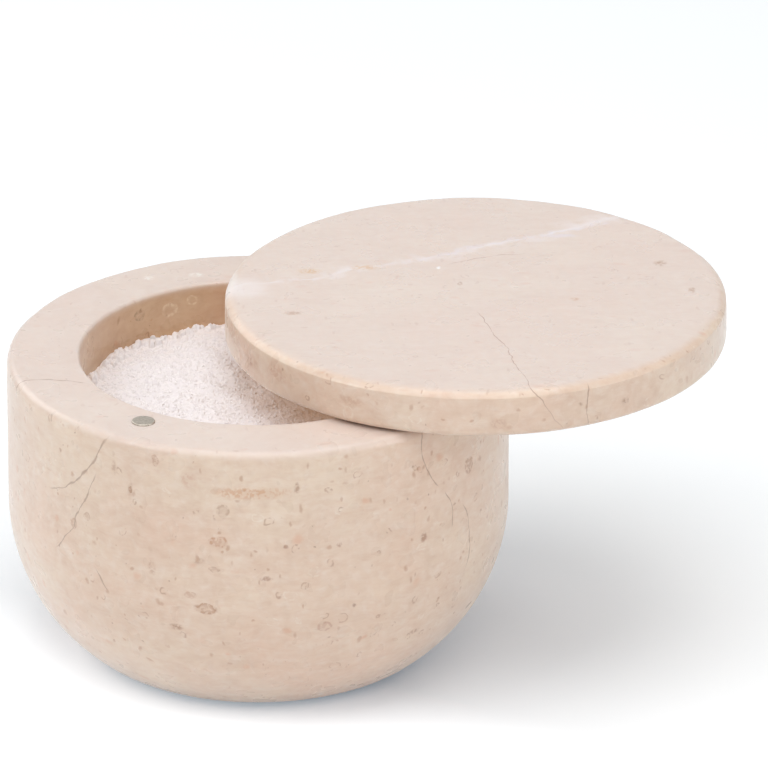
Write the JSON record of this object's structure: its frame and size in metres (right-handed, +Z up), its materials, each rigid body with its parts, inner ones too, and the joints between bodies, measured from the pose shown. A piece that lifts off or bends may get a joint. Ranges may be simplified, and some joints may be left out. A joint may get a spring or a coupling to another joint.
{
  "type": "salt cellar",
  "caption": "Round marble salt cellar: a thick-walled bowl with a flat rim and a flat disc lid that swivels aside on a pin in the rim and is held shut by small magnets.",
  "frame": {"origin": "centre of the foot pad's lower face, on the bowl's axis, where the cellar stands on the table", "axes": "+Z up along the bowl's axis; -Y is the front, with the rim magnet at front left; +X is the side towards which the lid is swung open"},
  "size_m": [0.1577, 0.1172, 0.0805],
  "materials": {
    "bowl_marble": "satin",
    "lid_marble": "satin",
    "magnet_nickel": "satin",
    "pin_steel": "satin",
    "nylon": "matte",
    "pad_rubber": "matte",
    "salt": "matte"
  },
  "bodies": {
    "bowl_body": {"bowl": "bowl_marble", "rim_magnet": "magnet_nickel", "pivot_pin": "pin_steel", "pivot_washer": "nylon", "foot_pad": "pad_rubber", "salt": "salt"},
    "lid_body": {"lid": "lid_marble", "lid_magnet": "magnet_nickel", "lid_bush": "nylon"}
  },
  "joints": [
    {"name": "lid_swivel", "type": "hinge", "parent": "bowl_body", "child": "lid_body", "pos_m": [0.01816, 0.04117, 0.07], "axis": [0, 0, 1], "continuous": true}
  ]
}
